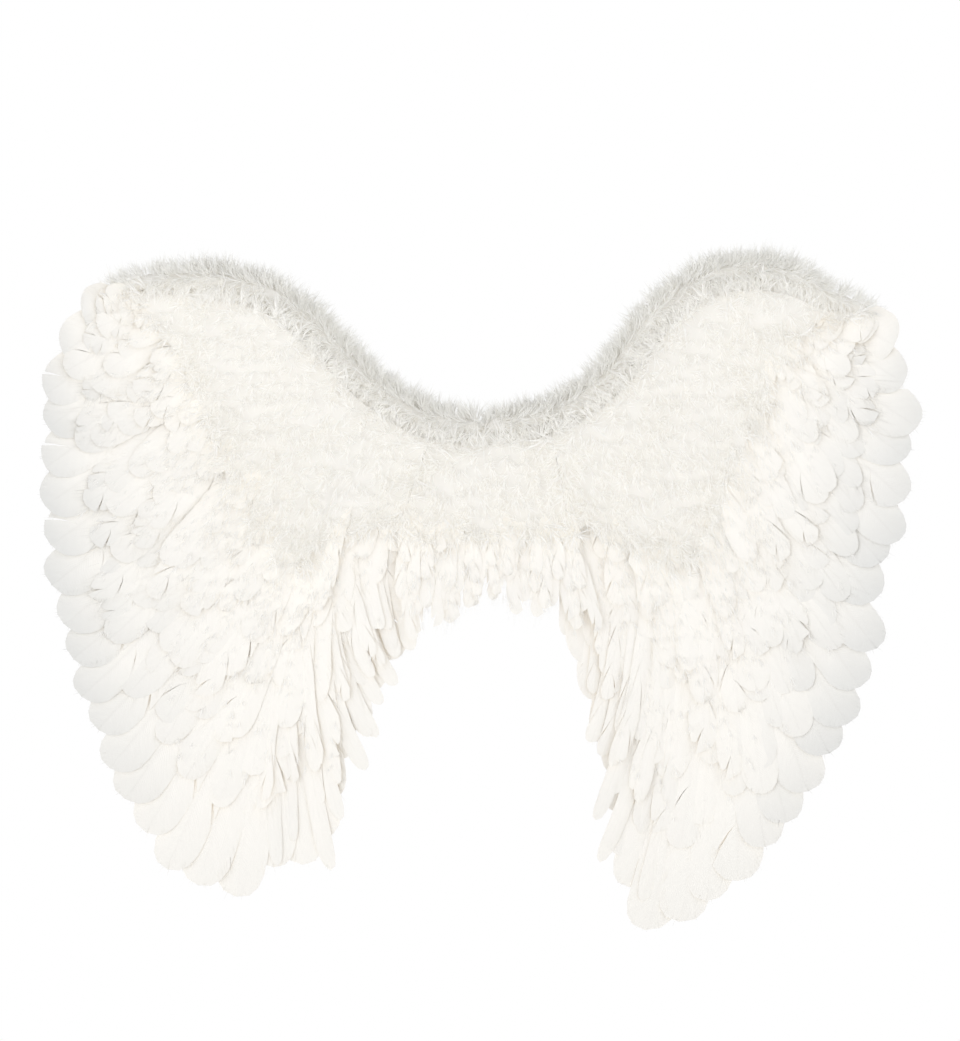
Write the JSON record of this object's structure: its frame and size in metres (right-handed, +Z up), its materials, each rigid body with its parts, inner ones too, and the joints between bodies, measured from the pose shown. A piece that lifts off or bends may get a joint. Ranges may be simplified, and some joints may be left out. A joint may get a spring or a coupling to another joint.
{
  "type": "angel wings",
  "caption": "White feather costume angel wings on a stiff felt board, with rows of overlapping feathers, down, a marabou trim and elastic shoulder loops.",
  "frame": {"origin": "on the flat wearer side of the backing board, in the middle of the join between the two wings, where it sits between the shoulder blades", "axes": "+X to the viewer's right when the feathers are seen, +Y away from the feathers towards the wearer's chest, +Z up"},
  "size_m": [0.5659, 0.1717, 0.4469],
  "materials": {
    "feather": "white goose feather, satin vane with fine barbs",
    "down": "fluffy white down",
    "marabou": "fluffy white marabou",
    "felt": "stiff white felt",
    "elastic": "woven white elastic"
  },
  "bodies": {
    "root": {"backing_board": "felt", "flight_feathers_left": "feather", "flight_feathers_right": "feather", "long_coverts_left": "feather", "long_coverts_right": "feather", "short_coverts_left": "feather", "short_coverts_right": "feather", "centre_feathers": "feather", "down_left": "down", "down_right": "down", "centre_down": "down", "marabou_trim_left": "marabou", "marabou_trim_right": "marabou", "shoulder_loop_left": "elastic", "shoulder_loop_right": "elastic"}
  },
  "joints": []
}
